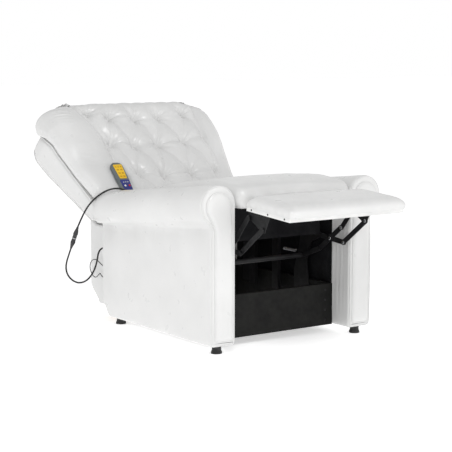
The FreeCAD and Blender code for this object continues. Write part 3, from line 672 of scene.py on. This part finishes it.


# A black sheet of painted shade fills the space between the seat's padded lip and its front rail, where it
# stands in for the shadow in that hollow.
z = np.linspace(392, 537, 40)
reach = 234 + 33 * smooth((z - 448) / 14)
x = reach[:, None] * np.linspace(-1, 1, 80)[None, :]
depth = 149 - 1.5 * np.abs(np.sin(x / 44)) - 3 * smooth((450 - z) / 60)[:, None]
lip_shade_points = np.stack([x, depth, np.repeat(z[:, None], 80, axis=1)], axis=-1)
lip_shade = shade_sheet("seat_lip_painted_shade", lip_shade_points)


# ---- tufted back
# Half-widths up the slope: the wide roll beside the handset, and the other, which is narrower.
HANDSET_SIDE = [(24, 212), (40, 232), (150, 233.5), (172, 262), (190, 352), (205, 378), (320, 414),
                (450, 443), (550, 456), (625, 459), (655, 453), (676, 434), (692, 402), (701, 358),
                (706, 300)]
FAR_SIDE = [(24, 212), (40, 232), (150, 233.5), (172, 262), (190, 324), (205, 332), (268, 342), (365, 360),
            (482, 379), (592, 388), (635, 380), (662, 362), (684, 334), (698, 298), (706, 245)]
# Where the tufted panel meets the two rolls.
HANDSET_BORDER = [(24, 205), (300, 205), (390, 218), (480, 228), (575, 246), (680, 286), (720, 296)]
FAR_BORDER = [(24, 232), (300, 282), (480, 294), (720, 296)]
# How far back the cushions reach, where the gap before the shell is.
GAP = [(0, 61), (500, 61), (560, 84), (620, 126), (720, 130)]


def at_height(table, v):
    """A table's value at a height up the slope."""
    heights, values = zip(*table)
    return np.interp(v, heights, values)


def half_width(v, x):
    """The back's half-width on the side where x is."""
    return np.where(np.asarray(x) < 0, at_height(HANDSET_SIDE, v), at_height(FAR_SIDE, v))


def panel_border(v, x):
    """How far from the middle the tufted panel ends, on the side where x is."""
    return np.where(np.asarray(x) < 0, at_height(HANDSET_BORDER, v), at_height(FAR_BORDER, v))


def tuft_rows():
    """Where the tufts are pulled in and the creases that join them, a little uneven as hand work is."""
    rows = [[(-262, 775), (-100, 765), (30, 770), (160, 768), (310, 775)],
            [(-238, 640), (-147, 607), (-23, 592), (98, 598), (234, 616)],
            [(-190, 464), (-88, 441), (33, 441), (167, 453), (302, 476)],
            [(-128, 287), (-12, 270), (124, 279), (262, 294)],
            [(-176, 128), (-66, 110), (60, 104), (196, 112)],
            [(-120, -40), (0, -50), (130, -50)]]
    links = []
    for high, low in zip(rows, rows[1:]):
        for a in high:
            for b in low:
                if abs(a[0] - b[0]) < 105:
                    strength = 1.0 if b[0] > a[0] else 0.62
                    links.append((a, b, strength * (0.5 if a[1] > 700 else 1)))
    for row in rows[2:4]:
        links += [(a, b, 0.42) for a, b in zip(row, row[1:])]
    return [tuft for row in rows[1:5] for tuft in row], links


def segment_distance(x, v, a, b):
    """Distance to a segment, and the place along it from 0 to 1."""
    ax, av = a
    dx, dv = b[0] - ax, b[1] - av
    t = np.clip(((x - ax) * dx + (v - av) * dv) / (dx * dx + dv * dv), 0, 1)
    return np.hypot(x - ax - t * dx, v - av - t * dv), t


def tuft_depth(x, v):
    """How far the cover is pulled in below the plump surface."""
    tufts, links = tuft_rows()
    border = panel_border(v, x)
    inside = smooth((border + 6 - np.abs(x)) / 26)
    crease = np.full(x.shape, 1e3)
    sharp = np.zeros(x.shape)
    wander = 7 * np.sin(v / 31 + x / 47) + 3 * np.sin(v / 13 - x / 19)
    for a, b, strength in links:
        distance, along = segment_distance(x + wander * 0.6, v, a, b)
        pull = strength * (0.35 + 0.65 * np.abs(2 * along - 1) ** 1.7)
        sharp = np.maximum(sharp, pull * np.exp(-(distance / 7.5) ** 1.1))
        crease = np.minimum(crease, distance + 30 * (1 - strength))
    dimple = np.zeros(x.shape)
    folds = np.zeros(x.shape)
    for number, (tx, tv) in enumerate(tufts):
        r = np.hypot(x - tx, v - tv)
        angle = np.arctan2(v - tv, x - tx)
        dimple = np.maximum(dimple, np.exp(-(r / 27) ** 1.15))
        spokes = np.sin(angle * (6 + number % 3) + number * 1.7) + 0.7 * np.sin(angle * 11 + number * 2.9)
        folds += spokes * np.exp(-r / 36) * (1 - np.exp(-(r / 9) ** 2))
    plump = 1 - np.exp(-(crease / 42) ** 1.7)
    fullness = 14 * (1 - 0.75 * smooth((v - 610) / 70))
    depth = inside * (9 * sharp + 35 * dimple + 3.6 * folds - fullness * plump)
    edge = np.abs(np.abs(x) - border - 8 * np.sin(v / 46))
    low_fade = smooth((v - 150) / 60) * np.where(x < 0, 1.0, 0.72)
    depth += low_fade * (11 * np.exp(-(edge / 13) ** 1.3) + 9 * np.exp(-(edge / 40) ** 2))
    return depth


def bolster_bulge(x, v):
    """The side bolsters: plump, with rows of short gathers across them."""
    border = panel_border(v, x)
    outer = half_width(v, x)
    across = np.clip((np.abs(x) - border) / np.maximum(outer - border, 1), 0, 1)
    swell = np.where(x < 0, 26, 12) * np.sin(across ** 0.85 * math.pi)
    swell = swell * smooth((v - 335) / 110) * smooth((715 - v) / 170)
    rhythm = np.sin(v / 3.4 + 2.2 * np.sin(v / 23) + x / 17)
    patchy = smooth(0.35 + 1.7 * np.sin(v / 43 + 1.2 * np.sin(v / 57)))
    gathers = 2.0 * np.maximum(rhythm, -0.3) * patchy * np.exp(-((across - 0.6) / 0.17) ** 2)
    return swell + gathers * smooth((v - 330) / 40) * smooth((690 - v) / 60)


def back_surface():
    """The back's whole front and its turned edges, as a grid in the back's own frame."""
    columns, lines = 261, 211
    low_end, top_end = 24, 706
    u = np.sin(np.linspace(-1, 1, columns) * math.pi / 2 * 0.96) / math.sin(math.pi / 2 * 0.96)
    s = np.linspace(0, 1, lines)
    v = low_end + (top_end - low_end) * (s - 0.06 * np.sin(2 * math.pi * s))
    v = np.repeat(v[:, None], columns, axis=1)
    x = u * half_width(v, u)
    heights = np.linspace(low_end, top_end, 500)
    rim = [np.stack([-at_height(HANDSET_SIDE, heights), heights], axis=1),
           np.stack([at_height(FAR_SIDE, heights), heights], axis=1)]
    for end in (low_end, top_end):
        along = np.linspace(-at_height(HANDSET_SIDE, end), at_height(FAR_SIDE, end), 160)
        rim.append(np.stack([along, np.full(160, float(end))], axis=1))
    rim = np.concatenate(rim)
    distance = np.empty(x.shape)
    for k in range(lines):
        gap = np.hypot(x[k][:, None] - rim[None, :, 0], v[k][:, None] - rim[None, :, 1])
        distance[k] = gap.min(axis=1)
    sideways = smooth((np.abs(x) - panel_border(v, x)) / 110)
    upper = smooth((v - 400) / 150)
    reach = 52 + (14 + 26 * sideways) * upper
    reach = reach * smooth((v - 60) / 80) + 26 * (1 - smooth((v - 60) / 80))
    over = np.clip(1 - distance / reach, 0, 1)
    turn_depth = 30 + 22 * smooth((v - 480) / 140) + 14 * (1 - smooth((v - 60) / 80))
    turn_depth += np.maximum(0, at_height(GAP, v) - 40 - turn_depth) * sideways * upper
    lumbar = -36 * (1 - smooth((v - 96) / 74))
    w = lumbar + turn_depth * (1 - np.sqrt(np.maximum(0, 1 - over ** 2)))
    local = np.stack([x, w, v], axis=-1)
    du = np.gradient(local, axis=1)
    dv = np.gradient(local, axis=0)
    normal = np.cross(du, dv)
    normal /= np.linalg.norm(normal, axis=-1)[..., None]
    keep_edge = smooth(distance / 14)
    depth = tuft_depth(x, v) - bolster_bulge(x, v)
    local = local - normal * (depth * keep_edge)[..., None]
    local[..., 1] += 2.2 * wave(local, 120, 6.1) * keep_edge
    handset_flat = smooth((30 - np.abs(x - HANDSET_X)) / 10 + 1)
    handset_flat *= smooth((340 - v) / 20) * smooth((v - 150) / 20)
    local[..., 1] = np.where(local[..., 1] < 0, local[..., 1] * (1 - handset_flat), local[..., 1])
    return local


def build_back():
    """The tufted back as one piece: its front, and rings that close it behind."""
    front = back_surface()
    lines, columns = front.shape[:2]
    edge = np.concatenate([front[0, :-1], front[:-1, -1], front[-1, :0:-1], front[:0:-1, 0]])
    order = list(range(columns - 1))
    order += [i * columns + columns - 1 for i in range(lines - 1)]
    order += [(lines - 1) * columns + j for j in range(columns - 1, 0, -1)]
    order += [i * columns for i in range(lines - 1, 0, -1)]
    flat = edge[:, [0, 2]]
    step = np.linalg.norm(flat - np.roll(flat, 1, 0), axis=1)
    along = np.cumsum(step)
    span = np.abs(along[:, None] - along)
    span = np.minimum(span, along[-1] - span)
    near = np.exp(-(span / 30) ** 2) * (step + np.roll(step, -1))
    normal = outward(near @ flat / near.sum(axis=1)[:, None])
    points = [back_frame(front[..., 0], front[..., 1], front[..., 2]).reshape(-1, 3)]
    faces = skin(front, wrap=False, ends=False)
    last = order
    count = lines * columns
    deep = at_height(GAP, edge[:, 2])
    upper = smooth((edge[:, 2] - 560) / 100)
    roll_in = 15 + 5 * upper + 16 * upper * np.clip(normal[:, 1], 0, 1) ** 6
    for a in np.linspace(0, math.pi / 2, 8)[1:]:
        w = edge[:, 1] + (deep - edge[:, 1]) * math.sin(a)
        moved = flat - normal * (roll_in * (1 - math.cos(a)))[:, None]
        points.append(back_frame(moved[:, 0], w, moved[:, 1]))
        ring = list(range(count, count + len(edge)))
        for j in range(len(edge)):
            k = (j + 1) % len(edge)
            faces.append((last[j], last[k], ring[k], ring[j]))
        last = ring
        count += len(edge)
    faces.append(tuple(last))
    back = piece("tufted_back", np.concatenate(points), faces, WHITE, "back")
    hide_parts("back_cushion", "bolster_left", "bolster_right")


build_back()


# ---- back shell and rear panel
# The shell's half-width and its front and rear faces, up the slope.
SHELL_SIDE = [(150, 368), (320, 405), (450, 425), (550, 430), (615, 412), (640, 388), (650, 360)]
SHELL_FRONT = [(150, 66), (505, 66), (560, 88), (620, 132), (650, 136)]
SHELL_REAR = [(150, 150), (600, 232), (650, 222)]


def sagged(x, v):
    """Places across the shell: its padding has settled towards the handset's side, more the higher it is."""
    drift = -20 * smooth((v - 260) / 340)
    return np.where(x > 0, x * (1 - 0.07 * smooth((v - 160) / 200)), x) + drift


def shell_ring(v, inset=0.0):
    """The shell's outline across the back at one height up the slope."""
    wide = at_height(SHELL_SIDE, v) - inset
    front = at_height(SHELL_FRONT, v) + inset
    rear = at_height(SHELL_REAR, v) - inset
    corners = [(-wide, front), (wide, front), (wide, rear - 16), (wide - 22, rear), (-wide + 22, rear),
               (-wide, rear - 16)]
    loop = relaxed(polygon(corners, (60, 10, 10, 60, 10, 10)), 6)
    loop[:, 0] = sagged(loop[:, 0], v)
    behind = smooth((loop[:, 1] - rear + 20) / 20)
    belly = 9 * np.cos(np.clip(loop[:, 0] / wide, -1, 1) * math.pi / 2)
    groove = 3.5 * np.exp(-((np.abs(loop[:, 0]) - 175) / 5) ** 2)
    loop[:, 1] += (belly - groove) * behind
    return loop


straight = [(v, 0) for v in np.linspace(168, 622, 62)]
rows = []
for v, inset in opening(150, 12, 6) + straight + closing(626, 24, 9):
    ring = shell_ring(v, inset)
    rows.append(back_frame(ring[:, 0], ring[:, 1], np.full(len(ring), v)))
rows = np.array(rows)
rows += 1.6 * wave(rows, 140, 8.8)[..., None] * (0, 0.7, -0.7)
shell = loft("back_shell_cover", rows, WHITE, "back")
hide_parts("back_shell")


def shell_edge(offset, rearward):
    """A welt's line up one side of the shell, over the top and down the other."""
    heights = np.linspace(156, 640, 70)
    wide = at_height(SHELL_SIDE, heights) - offset
    depth = at_height(SHELL_REAR, heights) - 8 if rearward else at_height(SHELL_FRONT, heights) + 3
    near = back_frame(sagged(-wide, heights), depth, heights)
    far = back_frame(sagged(wide, heights), depth, heights)
    return np.concatenate([near, far[::-1]])


for name, offset, rearward in (("shell_rear_welt", 4, True), ("shell_front_welt", 1.5, False)):
    line = evenly(shell_edge(offset, rearward), 8, 7, closed=False)
    welt(name, line, 2.8, "back", closed=False)


def skirt_ring(z, inset=0.0):
    """The rear panel's plan: two cheeks and the back, one thickness all round."""
    low = smooth((150 - z) / 90) ** 1.6
    rear = 990 - 70 * low - inset
    front = 789 + 42 * smooth((92 - z) / 32)
    outer = 330 - inset
    inner = 309 + inset
    inside = rear - 21 + 2 * inset
    corners = [(-outer, front), (-outer, rear), (outer, rear), (outer, front), (inner, front),
               (inner, inside), (-inner, inside), (-inner, front)]
    return relaxed(polygon(corners, (16, 60, 16, 4, 16, 60, 16, 4)), 3)


straight = [(z, 0) for z in np.linspace(72, 378, 46)]
rows = []
for z, inset in opening(58, 8, 5) + straight + closing(380, 8, 5):
    ring = skirt_ring(z, inset)
    rows.append(np.column_stack([ring, np.full(len(ring), z)]))
rows = np.array(rows)
rows[:, :, 1] += 2.0 * wave(rows, 120, 2.9) * smooth((rows[:, :, 1] - 960) / 20)
brim = 14 * smooth((rows[:, :, 1] - 925) / 45) + 8 * smooth((875 - rows[:, :, 1]) / 50)
rows[:, :, 2] += brim * smooth((rows[:, :, 2] - 340) / 48)
skirt = loft("rear_skirt", rows, WHITE, "root")
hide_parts("skirt_back", "skirt_cheek_left", "skirt_cheek_right")


# A black sheet of painted shade lines the rear panel, so that the gap under the back looks in on a dark
# space.
inside = evenly([(-307.5, 802), (-307.5, 966.5), (307.5, 966.5), (307.5, 802)], 10, 6, closed=False)
shade_grid = [np.column_stack([inside, np.full(len(inside), z)]) for z in np.linspace(150, 386, 24)]
shade_lining = shade_sheet("skirt_painted_shade", shade_grid)


# A narrow black sheet of painted shade stands on the rear panel and fills the slot under the back with dark.
slot_half = 322
across_slot = np.linspace(-slot_half, slot_half, 60)
upright = np.linspace(0, 1, 5)[:, None]
slot_height = 22 + 7 * (across_slot / slot_half) ** 2
slot = np.stack([np.tile(across_slot, (5, 1)), np.full((5, 60), 936.0), 386 + upright * slot_height], axis=-1)
slot_shade_piece = shade_sheet("rear_slot_painted_shade", slot)


# ---- handset
def hand_section(v, inset=0.0):
    """The handset's outline across it at one height, with a round top end."""
    top = math.sqrt(max(0.0, 1 - max(0.0, (v - 136) / 24) ** 2))
    half = (24 + 5 * smooth(v / 95)) * (0.42 + 0.58 * top) - inset
    deep = 11 - inset
    return superellipse(max(half, 1), max(deep, 1), 3.6, 48)


heights = [0.3, 1.5, 4, 8] + list(np.linspace(14, 136, 24)) + [141, 146, 151, 155, 158, 159.6]
insets = [5, 3, 1.2, 0.3] + [0] * 25 + [0.1, 0.4, 1.4, 3, 6]
rows = []
for v, inset in zip(heights, insets):
    ring = hand_section(v, inset)
    rows.append(back_frame(HANDSET_X + ring[:, 0], -11.7 + ring[:, 1], np.full(len(ring), HANDSET_LOW + v)))
handset = loft("handset_case", rows, MATERIALS["handset_grey"], "back")
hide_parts("handset_body")


def plate(corners, low, high, round_off, step=1.5):
    """Rings of a thin plate on the handset's face, its top edge eased."""
    loop = evenly(corners, step, round_off)
    normal = outward(loop)
    rings = []
    for w, inset in ((low, 0), (high + 0.5, 0), (high + 0.15, 0.25), (high, 0.8)):
        ring = loop - inset * normal
        rings.append(back_frame(HANDSET_X + ring[:, 0], w, HANDSET_LOW + ring[:, 1]))
    return np.array(rings)


keypad = loft("handset_key_field", plate([(-16.5, 69), (16.5, 69), (21, 145), (-21, 145)], -21.5, -23.9, 3),
              MATERIALS["handset_yellow"], "back")
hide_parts("handset_keypad")
panel = loft("handset_blue_field", plate([(-19, 8), (19, 8), (22, 62), (-22, 62)], -21.5, -23.6, 3),
             MATERIALS["handset_blue"], "back")
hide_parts("handset_panel")
keys = []
for row, v in enumerate((80, 98, 116, 132)):
    reach = 11 + row * 0.9
    for x in (-reach / 1.15, 0, reach / 1.15) if row == 3 else (-reach / 1.5, reach / 1.5):
        wide = 3.6 if row == 3 else 5.2
        keys.append(plate([(x - wide, v - 4), (x + wide, v - 4), (x + wide, v + 4), (x - wide, v + 4)],
                          -23.7, -24.5, 1.2, 0.8))
several("handset_keys", keys, KEY_EDGE, "back")
lamps = [plate([(x - 2.4, 47), (x + 2.4, 47), (x + 2.4, 51), (x - 2.4, 51)], -23.4, -24.2, 0.9, 0.6)
         for x in (-9, 1, 11)]
several("handset_lamps", lamps, MATERIALS["button_white"], "back")

for colour, x in (("white", -9), ("red", 11)):
    centre = back_frame(HANDSET_X + x, -23.0, HANDSET_LOW + 30.0)
    dome = lathe([(-1.2, 4.8), (1.6, 4.9), (2.3, 4.5), (2.7, 3.4), (2.9, 1.8), (2.95, 0.3)], centre,
                 (0, -1, 1), 28)
    cap = loft(f"button_cap_{colour}", dome, MATERIALS[f"button_{colour}"], f"button_{colour}")
    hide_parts(f"button_{colour}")

relief = lathe([(0, 5.6), (3, 5.4), (4, 4.6), (6, 5.1), (7, 4.4), (9, 4.8), (10, 4.1), (14, 3.9), (24, 3.6)],
               np.array(HANDSET_CORD[0], float), np.array(HANDSET_CORD[1], float) - HANDSET_CORD[0], 20)
loft("handset_strain_relief", relief, MATERIALS["cord_black"], "back")


# ---- mechanism details
def across(points):
    """The same spots on both sides of the chair."""
    return [(side * x, y, z, side) for side in SIDES.values() for x, y, z in points]


RIVETS = {
    "lower_links": [(243, 95.8, 377.7), (243, 13.65, 370.33)],
    "cross_links": [(243, 29.68, 426.97)],
    "footrest": [(238, -118.64, 468.94)],
    "root": [(253, 178, 385), (252, 660, 440)],
    "rockers": [(238, 268.85, 290.74)],
}
for body, spots in RIVETS.items():
    heads = [lathe([(0, 7), (-0.6, 7), (-1.2, 5.8), (-1.5, 3.6), (-1.6, 0.4)], (x, y, z), (s, 0, 0), 20)
             for x, y, z, s in across(spots)]
    several(f"rivets_{body}", heads, MATERIALS["bright_steel"], body)

coils = []
for x, y, z, _ in across([(232, 290, 307)]):
    turns = np.linspace(0, 1, 420)
    spin = turns * math.tau * 21
    body_line = np.stack([x + 5 * np.cos(spin), y + 6 + 78 * turns, z + 5 * np.sin(spin)], axis=1)
    coils.append(tube(body_line, 1.15, 6))
springs = several("coil_springs", coils, MATERIALS["spring_steel"], "root")
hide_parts("tension_springs")

feet = []
for x, y, z, _ in across([(332, 45, 0), (332, 730, 0)]):
    feet.append(lathe([(0, 19), (0.8, 21), (7, 21), (9, 19.6), (13, 18), (22, 17.4), (24, 18.6), (29, 18.6),
                       (30, 17)], (x, y, z), (0, 0, 1), 32))
glides = several("moulded_glides", feet, MATERIALS["glide_black"], "root")
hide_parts("glides")

screws = []
for x, u, n, s in across([(265, -30, 7.5), (265, -128, 7.5), (265, -226, 7.5)]):
    centre = foot_frame(np.array(x), np.array(float(u)), np.array(float(n)))
    screws.append(lathe([(-1, 3.6), (0.6, 3.5), (1.2, 2.4), (1.3, 0.4)], centre, (s, 0, 0), 14))
several("board_screws", screws, MATERIALS["black_steel"], "footrest")

pins = []
for side in SIDES.values():
    for height in np.linspace(52, 172, 4):
        pins.append(lathe([(0.5, 4.6), (-0.8, 4.4), (-1.5, 2.6), (-1.6, 0.3)], (side * 236, 112, height),
                          (0, 1, 0), 14))
several("board_staples", pins, MATERIALS["black_steel"], "root")


# ---- floor, light and the end
floor_mesh = bpy.data.meshes.new("floor")
reach = 30
floor_mesh.from_pydata([(-reach, -reach, 0), (reach, -reach, 0), (reach, reach, 0), (-reach, reach, 0)], [],
                       [(0, 1, 2, 3)])
floor_mesh.materials.append(painted("studio_floor", (0.90, 0.90, 0.90), (0.92, 0.92, 0.92), (0.7, 0.8), 6,
                                    0.02, Emission_Color=(1, 1, 1, 1), Emission_Strength=0.5))
floor = linked("floor", floor_mesh)

studio = bpy.data.worlds.new("studio")
studio.use_nodes = True
sky = studio.node_tree
direction = sky.nodes.new("ShaderNodeTexCoord")
split = sky.nodes.new("ShaderNodeSeparateXYZ")
sky.links.new(direction.outputs["Generated"], split.inputs["Vector"])
sky.links.new(ramp(sky, split.outputs["Z"], 1.0, 0.5, 0.10, 0.7), sky.nodes["Background"].inputs["Color"])
sky.nodes["Background"].inputs["Strength"].default_value = 1.0
bpy.context.scene.world = studio
bpy.context.scene.view_settings.view_transform = "Standard"


def softbox(name, place, target, size, power):
    """A rectangular lamp that faces a target."""
    data = bpy.data.lights.new(name, "AREA")
    data.shape = "RECTANGLE"
    data.size, data.size_y = size
    data.energy = power
    lamp = linked(name, data)
    lamp.location = place
    lamp.rotation_mode = "QUATERNION"
    lamp.rotation_quaternion = (Vector(target) - Vector(place)).to_track_quat("-Z", "Y")


softbox("key", (-1.8, -3.0, 4.2), (0, 0.2, 0.4), (1.3, 1.3), 72)
softbox("front_low", (1.0, -3.6, 1.2), (0, -0.2, 0.4), (1.6, 1.2), 9)
